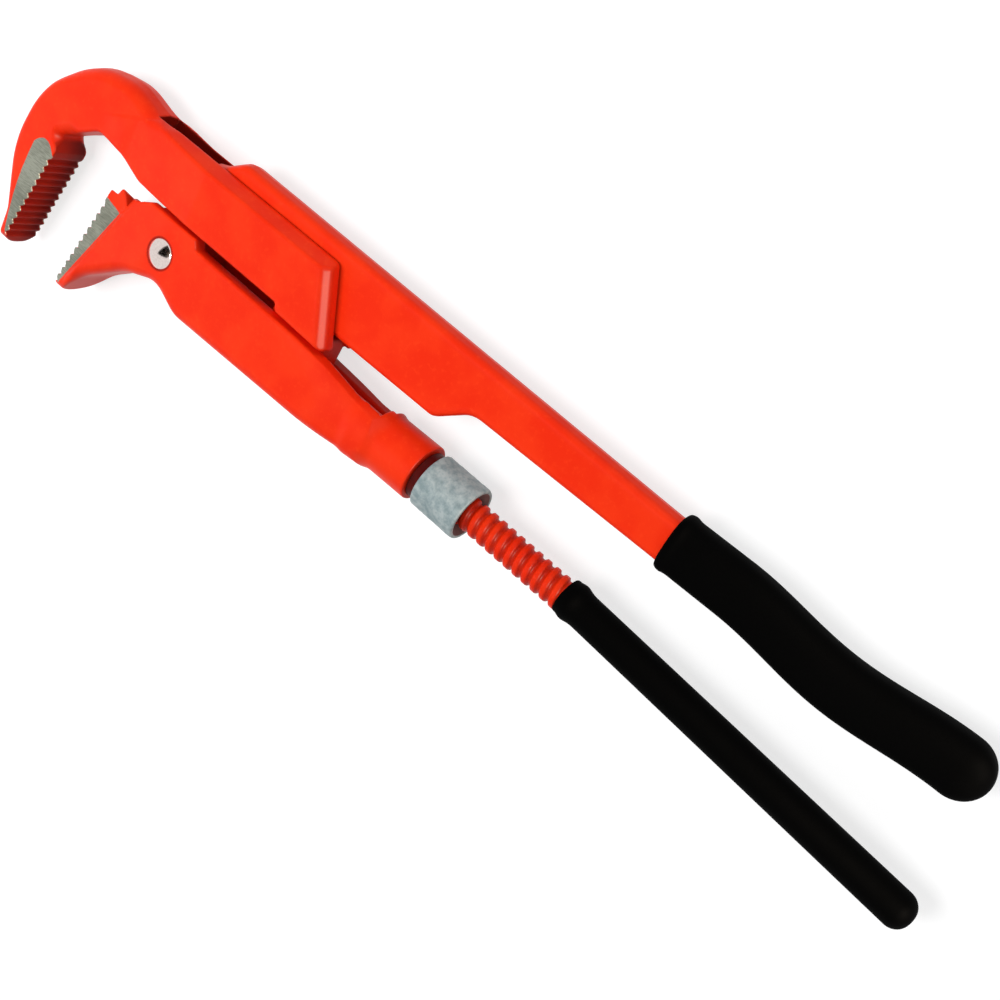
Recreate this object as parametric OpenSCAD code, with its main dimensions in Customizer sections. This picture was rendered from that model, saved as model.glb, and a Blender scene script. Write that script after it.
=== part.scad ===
// Swedish pattern pipe wrench with 90 degree jaws, lying on its flat far side (z = 0).
// X runs along the threaded rod to the handle ends, Y towards the long handle, Z up.
// The origin is on the rest face under the rod line, level with the spring rivet.
// The hook leg, washer and nut rock together about the thrust end of the collar.

/* [Box joint] */
// Thickness of the box shank and of the sleeve that lies beside it
box_t = 23.5; // [22.5:0.1:26]
// Thickness of the hook jaw, its shank and the lower jaw
jaw_t = 15.5; // [13:0.1:17]
// Thickness of the web and long handle plate that pass through the box
plate_t = 9.2; // [7:0.1:9.6]
// Gap on each side of the plate inside the box
slot_clear = 0.35; // [0.3:0.05:0.6]
// Height of the top edge of the box shank above the rod line
shank_top_y = 42.3; // [40:0.1:44]
// Drop of the far cheek's top edge below the near one
far_edge_drop = 1.5; // [0:0.1:3]
// Drop of the shank's top edge for each mm away from the slot
bevel_slope = 0.45; // [0:0.05:0.6]

/* [Threaded rod and nut] */
// Diameter of the threaded rod over its crests
rod_d = 11.6; // [10:0.1:12]
// Distance from one thread crest to the next
thread_pitch = 4.0; // [3:0.1:5]
// Depth of the thread
thread_depth = 1.0; // [0.6:0.1:1.4]
// Length of the threaded stretch behind the box shank
thread_len = 89; // [84:0.5:90]
// Diameter of the adjusting nut
nut_d = 20.6; // [17:0.1:23]
// Length of the adjusting nut
nut_len = 19; // [14:0.5:22]
// Chamfer at the handle end of the nut
nut_chamfer = 1.6; // [0.5:0.1:2.5]
// Running clearance of the nut's bore over the thread crests, on the radius
nut_clear = 0.05; // [0.02:0.01:0.1]
// Diameter of the thrust washer
washer_d = 18; // [15:0.5:22]
// Thickness of the thrust washer
washer_t = 3; // [2:0.1:3.5]
// Gap between the collar and the washer when the legs rock
washer_gap = 0.3; // [0.3:0.05:0.5]

/* [Jaw teeth] */
// Number of teeth across each jaw
tooth_count = 12; // [8:1:16]
// Depth of the grooves between the teeth
tooth_depth = 1.5; // [0.6:0.1:2]

/* [Sleeve] */
// Outside diameter of the round collar that takes the nut's thrust
collar_d = 21.4; // [19.6:0.2:23]
// Gap between the rod and the collar's bore, on the radius
bore_clear = 1; // [1:0.05:1.4]
// Width of the open channel beside the rod
channel_w = 12.6; // [12.6:0.1:13.5]
// Depth of the channel floor below the rod line
channel_depth = 7.8; // [7.4:0.1:8.4]
// Depth of the sleeve's underside below the rod line
sleeve_depth = 10.8; // [10.4:0.1:12]

/* [Pressure spring and rivet] */
// Thickness of the leaf spring
spring_t = 1; // [0.6:0.1:1.1]
// Width of the leaf spring
spring_w = 10; // [8:0.1:11]
// Diameter of the rivet's shank
rivet_d = 4.4; // [3.5:0.1:4.6]
// Diameter of the rivet's domed head
rivet_head_d = 10.6; // [8:0.1:11]
// Height of the rivet's domed head
rivet_head_h = 2.2; // [1.5:0.1:2.8]

/* [Grips] */
// Width of the long handle's grip
long_grip_w = 19.5; // [18:0.1:21]
// Thickness of the long handle's grip
long_grip_t = 14; // [12.5:0.1:16]
// Length of the long handle's grip
long_grip_len = 113; // [105:0.5:120]
// Dip of the long handle's grip between its two ends
long_grip_dip = 3.4; // [2:0.1:5]
// Diameter of the short handle's grip
short_grip_d = 12.4; // [11.6:0.1:14]
// Length of the short handle's grip
short_grip_len = 140.5; // [120:0.5:150]
// Height of the bead at the mouth of each grip
grip_bead = 0.8; // [0.3:0.1:1.2]

/* [Rest pose] */
// Angle that the pressure spring holds the hook leg open by
rest_rock = 1.5; // [1.4:0.05:1.6]

/* [Hidden] */
mid_z = box_t / 2;
slot_w = plate_t + 2 * slot_clear;
rod_r = rod_d / 2;
collar_x0 = 107.5;
collar_x1 = 127.2;
pivot_x = collar_x1 + washer_gap;
washer_x1 = pivot_x + washer_t;
nut_gap = 0.1;
nut_x0 = washer_x1 + nut_gap;
thread_x0 = 101.5;
thread_x1 = thread_x0 + thread_len;
web_end_x = 48.5;
lug_end_x = 77.2;
grip_fit = 0.03;
shank_low_y = 17.9;
slot_end = [[-33.7, 14], [-28.4, 47]];
ramp_x = -34.5;
ramp_len = 40;
facet_len = 5;
cheek_t = 4;
cone_x0 = 91;
cone_len = 18;
cone_r = 16.6;
reach = 200;
rivet_y = 6.4;
eye_r = 3.4;
handle_drop = 2.6;
handle_y = 0.7;
long_straight = 24;
core_w = long_grip_w - 5;
short_core_d = 9.4;
long_grip_x0 = 210;
long_core_y = 36.95;
cap_x = long_grip_x0 + long_grip_len - long_grip_w / 2;
dip_x = (long_grip_x0 + long_straight + cap_x) / 2;
$fa = 5;
$fs = 0.5;

function xy(p) = [p[0], p[1]];
function unit(v) = v / norm(v);

// Points of the arc that rounds corner b, between its neighbours a and c.
function corner_arc(a, b, c) =
    b[2] <= 0 ? [xy(b)] :
    let (u = unit(xy(a) - xy(b)),
         v = unit(xy(c) - xy(b)),
         half = acos(max(-1, min(1, u * v))) / 2,
         m = xy(b) + unit(u + v) * b[2] / sin(half),
         p = xy(b) + u * b[2] / tan(half) - m,
         a0 = atan2(p[1], p[0]),
         side = u[0] * v[1] - u[1] * v[0] > 0 ? -1 : 1,
         sweep = 180 - 2 * half,
         n = max(2, ceil(sweep / (b[2] > 12 ? 5 : 12))))
    [for (k = [0:n]) m + b[2] * [cos(a0 + side * sweep * k / n), sin(a0 + side * sweep * k / n)]];

// Closed outline through corners [x, y, radius].
function round_path(c) =
    let (n = len(c))
    [for (i = [0:n - 1]) each corner_arc(c[(i + n - 1) % n], c[i], c[(i + 1) % n])];

// A plate of the given thickness, centred on the mid plane.
module plate(corners, t) {
    translate([0, 0, mid_z - t / 2])
        linear_extrude(height = t)
            polygon(round_path(corners));
}

// Places something with its x axis on the rod line, in the mid plane.
module on_rod(x) {
    translate([x, 0, mid_z])
        rotate([0, 90, 0])
            children();
}

// Everything that rocks with the hook leg is drawn square to the rod inside this.
module rocked() {
    translate([pivot_x, 0, 0])
        rotate([0, 0, -rest_rock])
            translate([-pivot_x, 0, 0])
                children();
}

// Cuts a corner strip of radius r along the line from a to b, on both faces of a plate.
module round_both_edges(a, b, t, r, side) {
    d = xy(b) - xy(a);
    translate([a[0], a[1], mid_z])
        rotate([0, 0, atan2(d[1], d[0])])
            for (m = [0, 1])
                mirror([0, 0, m])
                    translate([-5, 0, t / 2 - r])
                        difference() {
                            translate([0, side > 0 ? -r : -1, 0])
                                cube([norm(d) + 10, r + 1, r + 1]);
                            translate([-1, -side * r, 0])
                                rotate([0, 90, 0])
                                    cylinder(h = norm(d) + 12, r = r);
                        }
}

// Takes the jaw faces down from the box thickness: a ramp that starts on the line a-b.
module jaw_ramp(a, b, rise) {
    d = xy(b) - xy(a);
    drop = (box_t - jaw_t) / 2;
    for (m = [0, 1])
        translate([a[0], a[1], mid_z])
            mirror([0, 0, m])
                rotate([0, 0, atan2(d[1], d[0])])
                    translate([0, 0, jaw_t / 2])
                        rotate([90, 0, 90])
                            translate([0, 0, -60])
                                linear_extrude(height = 160)
                                    polygon([[-90, 0], [0, 0], [rise, drop], [rise, 20], [-90, 20]]);
}

/* Hook leg: hook jaw, slotted box shank, threaded rod and short handle in one forging */

hook_corners = [
    [-76.6, -42.3, 1.6],
    [-66.9, 4.0, 1.5],
    [-69.2, 10.4, 1.5],
    [-51.0, 22.4, 5.5],
    [-37.0, 21.3, 9],
    [-24.0, shank_low_y, 12],
    [52.0, shank_low_y, 1.4],
    [53.5, 15.2, 1.4],
    [lug_end_x + 0.4, 14.5, 1],
    [64.4, shank_top_y, 3],
    [-29.5, shank_top_y, 20],
    [-45.0, 46.0, 25],
    [-61.0, 43.6, 33],
    [-74.0, 35.5, 38],
    [-86.2, 19.0, 38],
    [-90.2, -3.5, 40],
    [-81.8, -29.0, 14],
    [-81.6, -42.3, 2.0]
];

module threaded_rod() {
    teeth = floor(thread_len / thread_pitch);
    crest = rod_r;
    root = rod_r - thread_depth;
    on_rod(web_end_x + 8)
        cylinder(h = thread_x0 - web_end_x - 7.5, r = crest);
    on_rod(thread_x0)
        rotate_extrude()
            polygon(concat(
                [[0, 0]],
                [for (i = [0:teeth - 1]) each [
                    [crest, (i + 0.00) * thread_pitch],
                    [crest, (i + 0.22) * thread_pitch],
                    [root, (i + 0.50) * thread_pitch],
                    [root, (i + 0.72) * thread_pitch]]],
                [[crest, teeth * thread_pitch],
                 [crest - 0.6, thread_len],
                 [0, thread_len]]));
}

module short_core(extra) {
    translate([thread_x1, handle_y, mid_z])
        rotate([0, 0, -handle_drop])
            rotate([0, 90, 0])
                translate([0, 0, -0.5])
                    cylinder(h = short_grip_len - 2.5 + extra, d = short_core_d + 2 * extra);
}

// Rounds the end of a jaw across its thickness: a turned end of radius r that reaches down to y.
module round_tip(y, r) {
    translate([-110, y - 1, 0])
        difference() {
            cube([72, r + 1, box_t]);
            translate([-1, r + 1, mid_z])
                rotate([0, 90, 0])
                    cylinder(h = 74, r = r);
        }
}

// V grooves between the teeth, along the line from a to b, cut to the given side.
module tooth_gaps(a, b, count, deep) {
    step = norm(b - a) / count;
    translate([a[0], a[1], 0])
        rotate([0, 0, atan2(b[1] - a[1], b[0] - a[0])])
            for (i = [0:count - 1])
                translate([i * step, 0, -1])
                    linear_extrude(height = box_t + 2)
                        polygon([[0, -0.4 * sign(deep)], [step * 0.25, deep],
                                 [step * 0.95, -0.4 * sign(deep)]]);
}

module hook_leg() {
    color("#d8381c")
        rocked() {
            difference() {
                plate(hook_corners, box_t);
                // jaw and shank faces, then the ramp up to the box pads
                jaw_ramp([ramp_x, 60], [ramp_x, -60], ramp_len);
                // slot for the web and plate, open above, below and to the right
                translate([0, 0, mid_z - slot_w / 2])
                    linear_extrude(height = slot_w)
                        polygon([slot_end[0], [reach, slot_end[0][1]], [reach, slot_end[1][1]],
                                 slot_end[1]]);
                // sloping top edges beside the slot, the far one lower
                for (m = [0, 1])
                    translate([-24, shank_top_y - m * far_edge_drop, mid_z])
                        mirror([0, 0, m])
                            translate([0, 0, slot_w / 2])
                                rotate([90, 0, 90])
                                    linear_extrude(height = 110)
                                        polygon([[0, 0], [5, 0], [5, 12], [-12 * bevel_slope, 12]]);
                round_both_edges([lug_end_x, 15.4], [64.4, 42.3], box_t, 4, -1);
                tooth_gaps([-75.8, -38.5], [-67.4, 1.2], tooth_count, tooth_depth);
                round_tip(-42.3, 8.9);
            }
            // web that joins the box to the rod, running in the sleeve's channel
            translate([0, 0, mid_z - rod_r])
                linear_extrude(height = 2 * rod_r)
                    polygon(round_path([
                        [web_end_x, 17.6, 1],
                        [web_end_x, -rod_r + 6, 3],
                        [web_end_x + 6, -rod_r, 3],
                        [lug_end_x - 3, -rod_r, 0],
                        [lug_end_x - 3, 17.6, 1]]));
            threaded_rod();
            // bent handle inside the short grip
            short_core(0);
        }
}

/* Jaw leg: lower jaw, channel sleeve, collar, web and long handle in one forging */

body_corners = [
    [-47.0, -37.2, 1.2],
    [-34.8, 12.4, 1.2],
    [-31.4, 12.4, 1.0],
    [-30.0, 15.6, 1.2],
    [-25.0, 15.2, 3],
    [-15.8, 18.2, 2],
    [-12.2, 20.1, 2],
    [12.0, 19.6, 1],
    [14.0, 16.4, 1.2],
    [79.0, 14.1, 8],
    [88.5, 12.7, 14],
    [collar_x0, 10.3, 0],
    [collar_x0, -sleeve_depth, 0],
    [14.0, -sleeve_depth, 14],
    [1.0, -4.6, 12],
    [-14.5, -10.0, 25],
    [-32.5, -23.5, 30],
    [-43.6, -37.2, 1.8]
];

plate_corners = [
    [-4.5, 14.0, 0],
    [-4.5, 22.0, 4],
    [0.0, 43.6, 1.5],
    [4.8, 45.2, 5],
    [13.5, 51.3, 7],
    [long_grip_x0 - 0.5, 44.6, 0],
    [long_grip_x0 - 0.5, 29.4, 0],
    [133.8, 29.6, 10],
    [121.5, 20.0, 6],
    [9.0, 21.6, 3],
    [9.0, 14.0, 0]
];

// Centre line of the long handle, which dips between its mouth and its end.
function dip_share(x) =
    x < dip_x ? (x - long_grip_x0 - long_straight) / (dip_x - long_grip_x0 - long_straight) :
                (cap_x - x) / (cap_x - dip_x);
function handle_line(x) =
    long_core_y - long_grip_dip * (1 - cos(180 * max(0, min(1, dip_share(x))))) / 2;

// Flat bar of the long handle inside its grip, following the dip.
module long_core(extra) {
    half = core_w / 2 + extra;
    x0 = long_grip_x0 - 1 - extra;
    steps = 22;
    step = (cap_x - x0) / steps;
    translate([0, 0, mid_z - plate_t / 2 - extra])
        linear_extrude(height = plate_t + 2 * extra)
            polygon(concat(
                [for (i = [0:steps]) [x0 + i * step, handle_line(x0 + i * step) - half]],
                [for (a = [-75:15:75]) [cap_x + half * cos(a), long_core_y + half * sin(a)]],
                [for (i = [steps:-1:0]) [x0 + i * step, handle_line(x0 + i * step) + half]]));
}

// One ring of the grip's skin at x, grown by extra and shrunk by k towards the rounded end.
function skin_ring(x, y, extra, k) =
    let (w = (long_grip_w / 2 + extra) * k,
         t = (long_grip_t / 2 + extra) * k)
    [for (a = [0:12:348]) [x, y + w * arch(cos(a)), mid_z + t * arch(sin(a))]];

// Squares a circle's coordinate up, which gives the grip its flattened oval section.
function arch(c) = sign(c) * pow(abs(c), 0.78);

module grip_skin() {
    r_end = long_grip_w / 2;
    body = [for (i = [0:18]) 6 + i * (cap_x - long_grip_x0 - 6) / 18];
    rings = concat(
        [skin_ring(long_grip_x0, long_core_y, -0.9, 1),
         skin_ring(long_grip_x0 + 0.5, long_core_y, 0, 1),
         skin_ring(long_grip_x0 + 1.4, long_core_y, grip_bead / 2, 1),
         skin_ring(long_grip_x0 + 3.6, long_core_y, grip_bead / 2, 1)],
        [for (b = body) skin_ring(long_grip_x0 + b, handle_line(long_grip_x0 + b), 0, 1)],
        [for (a = [12:12:84]) skin_ring(cap_x + r_end * sin(a), long_core_y, 0, cos(a))]);
    n = len(rings);
    m = len(rings[0]);
    points = concat([for (r = rings) each r], [[cap_x + r_end, long_core_y, mid_z]]);
    polyhedron(points, concat(
        [[for (j = [0:m - 1]) j]],
        [for (i = [0:n - 2], j = [0:m - 1]) [i * m + j, (i + 1) * m + j, i * m + (j + 1) % m]],
        [for (i = [0:n - 2], j = [0:m - 1])
            [(i + 1) * m + j, (i + 1) * m + (j + 1) % m, i * m + (j + 1) % m]],
        [for (j = [0:m - 1]) [(n - 1) * m + j, n * m, (n - 1) * m + (j + 1) % m]]));
}

// Channel for the rod and the hook leg's web, with the pocket of the spring's eye at its left.
channel_corners = [
    [-5.5, 10.4, 2],
    [-5.5, 0.4, 3],
    [4.0, -1.5, 4],
    [14.0, -channel_depth, 4],
    [collar_x0 - 1.5, -channel_depth, 0],
    [collar_x0 - 1.5, 24, 0],
    [9.6, 24, 0],
    [9.6, 10.4, 0]
];

// Turned shape that takes the sleeve's square corners down to the round collar.
module sleeve_shoulders() {
    on_rod(cone_x0 - reach)
        rotate_extrude()
            polygon([[0, 0], [reach, 0], [reach, reach - 30], [cone_r, reach],
                     [collar_d / 2 + 0.3, reach + cone_len], [0, reach + cone_len]]);
}

module jaw_leg() {
    color("#d8381c") {
        difference() {
            union() {
                difference() {
                    intersection() {
                        plate(body_corners, box_t);
                        sleeve_shoulders();
                    }
                    jaw_ramp([-26.5, 8.7], [-41.8, -29.7], facet_len);
                    round_tip(-37.2, 9.5);
                    round_both_edges([16, -sleeve_depth], [collar_x0, -sleeve_depth], box_t, 3.5, -1);
                    tooth_gaps([-46.2, -34.0], [-35.9, 7.4], tooth_count, -tooth_depth);
                }
                on_rod(collar_x0 - 1)
                    cylinder(h = collar_x1 - collar_x0 + 1, d = collar_d);
            }
            plate(channel_corners, channel_w);
            // the far wall stands lower than the near one beside the open stretch
            translate([0, 0, -1])
                linear_extrude(height = mid_z + 1)
                    polygon([[69, 7.7], [collar_x0, 4.7], [collar_x0, 19], [66, 19]]);
            // behind the near cheek the top of the jaw stands lower
            translate([0, 0, -1])
                linear_extrude(height = box_t - cheek_t + 1)
                    polygon([[-28.6, 21], [-28.6, 15.2], [-25.5, 10.8], [-12, 10.8], [-9, 21]]);
            on_rod(collar_x0 - 5)
                cylinder(h = collar_x1 - collar_x0 + 10, r = rod_r + bore_clear);
            translate([0, rivet_y, -1])
                cylinder(h = box_t + 2, d = rivet_d + 2 * grip_fit);
        }
        plate(plate_corners, plate_t);
        long_core(0);
    }
}

module adjusting_nut() {
    color("#aeb9bd")
        rocked()
            on_rod(nut_x0)
                rotate_extrude()
                    polygon([
                        [rod_r + nut_clear, 0],
                        [nut_d / 2 - 0.6, 0],
                        [nut_d / 2, 0.6],
                        [nut_d / 2, nut_len - nut_chamfer],
                        [nut_d / 2 - nut_chamfer, nut_len],
                        [rod_r + nut_clear, nut_len]]);
}

module thrust_washer() {
    color("#a8200f")
        rocked()
            on_rod(pivot_x)
                difference() {
                    cylinder(h = washer_t, d = washer_d);
                    translate([0, 0, -1])
                        cylinder(h = washer_t + 2, r = rod_r + bore_clear / 2);
                }
}

// Centre line of the leaf spring, from under its eye to its free end beside the rod.
spring_line = [[0, 3.1], [6, 1.2], [14.4, -7.0], [40, -7.1], [68, -6.6], [76, -7.0]];

// Point on one side of the leaf, half its thickness from corner i of the centre line.
function spring_side(i, side) =
    let (last = len(spring_line) - 1,
         k = max(i, 1),
         j = min(i + 1, last),
         a = unit(spring_line[k] - spring_line[k - 1]),
         b = unit(spring_line[j] - spring_line[j - 1]),
         m = unit([-(a[1] + b[1]), a[0] + b[0]]))
    spring_line[i] + side * m * spring_t / 2 / (m * [-a[1], a[0]]);

module pressure_spring() {
    last = len(spring_line) - 1;
    color("#8f8f8b")
        translate([0, 0, mid_z - spring_w / 2])
            linear_extrude(height = spring_w)
                difference() {
                    union() {
                        translate([0, rivet_y])
                            circle(r = eye_r);
                        polygon(concat(
                            [for (i = [0:last]) spring_side(i, -1)],
                            [for (i = [last:-1:0]) spring_side(i, 1)]));
                    }
                    translate([0, rivet_y])
                        circle(d = rivet_d + 2 * grip_fit);
                }
}

module spring_rivet() {
    dome_r = (pow(rivet_head_d / 2, 2) + pow(rivet_head_h, 2)) / (2 * rivet_head_h);
    color("#cfd2d2")
        translate([0, rivet_y, 0]) {
            translate([0, 0, 0.2])
                cylinder(h = box_t, d = rivet_d);
            intersection() {
                translate([0, 0, box_t])
                    cylinder(h = rivet_head_h + 1, d = rivet_head_d);
                translate([0, 0, box_t + rivet_head_h - dome_r])
                    sphere(r = dome_r);
            }
        }
}

module long_handle_grip() {
    color("#26262a")
        difference() {
            grip_skin();
            long_core(grip_fit);
        }
}

module short_handle_grip() {
    big = short_grip_d / 2;
    color("#26262a")
        rocked()
            difference() {
                translate([thread_x1, handle_y, mid_z])
                    rotate([0, 0, -handle_drop])
                        rotate([0, 90, 0])
                            translate([0, 0, 0.5])
                                rotate_extrude() {
                                    square([big, short_grip_len - 5]);
                                    square([big - 5, short_grip_len]);
                                    intersection() {
                                        translate([big - 5, short_grip_len - 5])
                                            circle(r = 5);
                                        square([big, short_grip_len]);
                                    }
                                    translate([big - 2 + grip_bead, 4])
                                        circle(r = 2);
                                }
                short_core(grip_fit);
            }
}

hook_leg();
jaw_leg();
adjusting_nut();
thrust_washer();
pressure_spring();
spring_rivet();
long_handle_grip();
short_handle_grip();
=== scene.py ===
"""A 90 degree pipe wrench of the Swedish pattern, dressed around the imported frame.

The two forgings are surfaces of smooth fields, so that their edges have the rounds of a die-forged part.
The wrench's lengths are in mm, in the frame's axes, and are turned to metres when a mesh is made.
The floor, the lamps, the card and the camera are placed in metres.
"""
import math

import bpy
import numpy as np
from mathutils import Matrix, Vector


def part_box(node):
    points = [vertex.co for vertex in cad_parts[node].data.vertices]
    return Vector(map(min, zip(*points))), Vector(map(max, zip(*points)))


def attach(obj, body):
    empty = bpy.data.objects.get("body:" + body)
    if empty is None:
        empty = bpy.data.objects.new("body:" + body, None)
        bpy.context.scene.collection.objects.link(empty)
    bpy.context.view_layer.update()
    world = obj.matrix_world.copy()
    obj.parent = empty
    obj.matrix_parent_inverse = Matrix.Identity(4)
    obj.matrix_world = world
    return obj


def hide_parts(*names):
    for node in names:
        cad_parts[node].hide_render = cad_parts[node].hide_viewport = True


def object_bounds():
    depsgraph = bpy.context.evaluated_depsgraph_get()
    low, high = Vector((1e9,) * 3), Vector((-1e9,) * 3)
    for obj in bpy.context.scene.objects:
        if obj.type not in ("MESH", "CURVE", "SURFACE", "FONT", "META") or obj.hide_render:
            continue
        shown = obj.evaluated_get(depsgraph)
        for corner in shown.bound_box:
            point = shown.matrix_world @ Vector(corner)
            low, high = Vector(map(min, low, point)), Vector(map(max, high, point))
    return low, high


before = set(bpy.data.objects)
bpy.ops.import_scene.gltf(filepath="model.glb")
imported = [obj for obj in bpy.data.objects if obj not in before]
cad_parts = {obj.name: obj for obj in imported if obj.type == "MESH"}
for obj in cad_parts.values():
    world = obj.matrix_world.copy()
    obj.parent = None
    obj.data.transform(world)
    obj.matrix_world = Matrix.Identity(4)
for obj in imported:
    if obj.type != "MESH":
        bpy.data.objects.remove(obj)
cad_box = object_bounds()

MM = 0.001


def box_mm(node):
    """Lowest and highest corner of a CAD node, in mm."""
    return [np.array(corner) * 1000 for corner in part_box(node)]


nut_lo, nut_hi = box_mm("adjusting_nut")
rivet_lo, rivet_hi = box_mm("spring_rivet")
long_lo, long_hi = box_mm("long_handle_grip")

# ---------------------------------------------------------------- sizes of the wrench

MID = (nut_lo[2] + nut_hi[2]) / 2          # height of the rod line above the bench
BOX_HALF = MID                             # the box shank and the sleeve lie on the bench
JAW_HALF = 7.75                            # half thickness of both jaws
PLATE_HALF = 4.6                           # half thickness of the long handle's bar
SLOT_HALF = 4.95                           # half width of the slot that the bar passes through
PIVOT_X = 127.5                            # thrust end of the collar, about which the hook leg rocks
ROCK = math.radians(-1.5)                  # how far the spring holds the hook leg open
ROD_R = 5.8
PITCH = 4.0
THREAD_DEPTH = 1.0
THREAD_X0 = 101.5
THREAD_X1 = 190.5
TOOTH_COUNT = 12
TOOTH_DEPTH = 1.5
TOOTH_EDGE = 0.35                          # edge round of a jaw beside its teeth
SHANK_TOP = 42.3
HOOK_TIP_Y, HOOK_TIP_R = -42.3, 8.9        # end and turned radius of the hook's tip
JAW_TIP_Y, JAW_TIP_R = -37.2, 9.5          # the same of the lower jaw's tip
COLLAR_R, COLLAR_MID, COLLAR_HALF = 10.7, 113.6, 13.6
CONE_X0, CONE_R, CONE_SLOPE = 89.0, 16.6, 0.27    # where the square sleeve turns into the collar
CHANNEL_HALF = 6.3
BORE_X0, BORE_R = 102.0, 6.8               # the collar's bore round the rod
RIVET_R = 5.6
DEEP = -9.0                                # field value well inside, where a cut doesn't apply

# Outlines as corners [x, y, radius], the hook leg's square to its own rod.
HOOK = [
    [-76.6, -42.3, 1.6], [-66.9, 4.0, 1.5], [-69.2, 10.4, 1.5], [-51.0, 22.4, 5.5],
    [-37.0, 21.3, 9], [-24.0, 17.9, 12], [52.0, 17.9, 1.4], [53.5, 15.2, 1.4],
    [77.6, 14.5, 1.2], [64.4, 42.3, 3], [-29.5, 42.3, 20], [-45.0, 46.0, 25],
    [-61.0, 43.6, 33], [-74.0, 35.5, 38], [-86.2, 19.0, 38], [-90.2, -3.5, 40],
    [-81.8, -29.0, 14], [-81.6, -42.3, 2],
]
WEB = [[48.5, 17.6, 1], [48.5, 0.2, 3], [54.5, -5.8, 3], [74.2, -5.8, 2], [74.2, 17.6, 1]]
SLEEVE = [
    [-47.0, -37.2, 1.2], [-34.8, 12.4, 1.2], [-31.4, 12.4, 1.0], [-30.0, 15.6, 1.2],
    [-25.0, 15.2, 3], [-15.8, 18.2, 2], [-12.2, 20.1, 2], [12.0, 19.6, 1],
    [14.0, 16.4, 1.2], [79.0, 14.1, 8], [88.5, 12.7, 14], [107.5, 10.3, 0],
    [107.5, -10.8, 0], [14.0, -10.8, 14], [1.0, -4.6, 12], [-14.5, -10.0, 25],
    [-32.5, -23.5, 30], [-43.6, -37.2, 1.8],
]
CHANNEL = [
    [-5.5, 10.4, 2], [-5.5, 0.4, 3], [4.0, -1.5, 4], [14.0, -7.8, 4],
    [106.0, -7.8, 1.5], [106.0, 30.0, 0], [9.6, 30.0, 0], [9.6, 10.4, 0],
]
BEHIND = [[-28.6, 21.0, 0], [-28.6, 15.2, 0], [-25.5, 10.8, 0], [-12.0, 10.8, 0], [-9.0, 21.0, 0]]
CHEEK = 4.0                                # the near cheek's thickness over the lowered top of the jaw
FAR_WALL = [[69.0, 7.7, 0], [107.5, 4.7, 0], [107.5, 19.0, 0], [66.0, 19.0, 0]]
BAR = [
    [-4.5, 17.0, 0], [-4.5, 22.0, 4], [0.0, 43.6, 1.5], [4.8, 45.2, 5], [13.5, 51.3, 7],
    [214.0, 44.5, 0], [214.0, 29.4, 0], [133.8, 29.6, 10], [121.5, 20.0, 6],
    [9.0, 21.6, 3], [9.0, 17.0, 0],
]
# Tooth rows, from the tip of each jaw to its root, and the line where its ground flat stops.
HOOK_TEETH = [(-75.8, -38.5), (-67.4, 1.2)]
JAW_TEETH = [(-46.2, -34.0), (-35.9, 7.4)]
JAW_FACET = [(-26.3, 8.7), (-42.2, -29.7)]
SLOT_END = [(-33.7, 14.0), (-28.4, 47.0)]


# ---------------------------------------------------------------- fields


def ease(t):
    """0 below 0, 1 above 1, and a smooth step between."""
    t = np.clip(t, 0.0, 1.0)
    return t * t * (3 - 2 * t)


def rounded(corners):
    """Points of the closed outline through corners [x, y, radius], with each corner as an arc."""
    points = []
    for i, (x, y, r) in enumerate(corners):
        b = np.array([x, y])
        if r <= 0:
            points.append(b)
            continue
        u = np.array(corners[i - 1][:2]) - b
        v = np.array(corners[(i + 1) % len(corners)][:2]) - b
        u, v = u / np.linalg.norm(u), v / np.linalg.norm(v)
        half = math.acos(np.clip(u @ v, -1, 1)) / 2
        m = b + (u + v) / np.linalg.norm(u + v) * r / math.sin(half)
        p = b + u * r / math.tan(half) - m
        turn = (1 if u[0] * v[1] - u[1] * v[0] < 0 else -1) * (math.pi - 2 * half)
        steps = max(3, math.ceil(abs(turn) / math.radians(4 if r > 12 else 11)))
        for k in range(steps + 1):
            c, s = math.cos(turn * k / steps), math.sin(turn * k / steps)
            points.append(m + np.array([c * p[0] - s * p[1], s * p[0] + c * p[1]]))
    return np.array(points)


def rim_distance(x, y, outline):
    """Distance to the outline, negative inside it."""
    best = np.full(np.broadcast(x, y).shape, 1e9)
    inside = np.zeros(best.shape, bool)
    for a, b in zip(outline, np.roll(outline, -1, axis=0)):
        d = b - a
        length2 = d @ d
        if length2 < 1e-12:
            continue
        t = np.clip(((x - a[0]) * d[0] + (y - a[1]) * d[1]) / length2, 0, 1)
        best = np.minimum(best, (x - a[0] - t * d[0]) ** 2 + (y - a[1] - t * d[1]) ** 2)
        if a[1] != b[1]:
            crosses = (a[1] > y) != (b[1] > y)
            inside ^= crosses & (x < a[0] + (y - a[1]) * d[0] / d[1])
    best = np.sqrt(best)
    return np.where(inside, -best, best)


def both(a, b, r):
    """Inside a and b, with the edge between them rounded by r."""
    u, v = np.maximum(a + r, 0), np.maximum(b + r, 0)
    return np.minimum(-r, np.maximum(a, b)) + np.sqrt(u * u + v * v)


def either(a, b, r):
    """Inside a or b, with a fillet of radius r in the corner."""
    return -both(-a, -b, r)


def cut(a, b, r):
    """Inside a and outside b."""
    return both(a, -b, r)


def from_line(x, y, a, b):
    """Distance along the line from a to b, and away from it to its right."""
    d = np.array(b) - np.array(a)
    d = d / np.linalg.norm(d)
    return (x - a[0]) * d[0] + (y - a[1]) * d[1], (x - a[0]) * d[1] - (y - a[1]) * d[0]


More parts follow.
